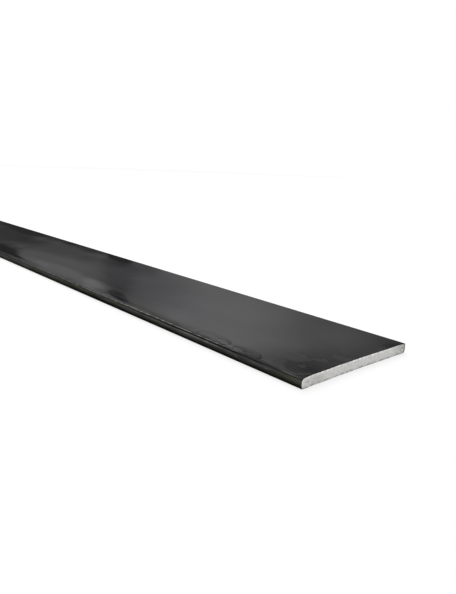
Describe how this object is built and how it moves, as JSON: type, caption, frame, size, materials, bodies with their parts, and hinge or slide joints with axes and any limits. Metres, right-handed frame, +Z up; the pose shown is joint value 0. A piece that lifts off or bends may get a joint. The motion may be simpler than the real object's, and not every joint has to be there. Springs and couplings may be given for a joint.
{
  "type": "steel flat bar",
  "caption": "Hot-rolled steel flat bar with bowed, round-cornered edges and sawn ends, cut and welded or drilled into frames and brackets.",
  "frame": {"origin": "middle of the bar's length and width, on the lower wide face that it lies on", "axes": "+X along the bar's length, +Y across its width, +Z up through its thickness"},
  "size_m": [1, 0.075, 0.005],
  "materials": {
    "mill_scale_steel": "satin"
  },
  "bodies": {
    "root": {"flat_bar": "mill_scale_steel"}
  },
  "joints": []
}
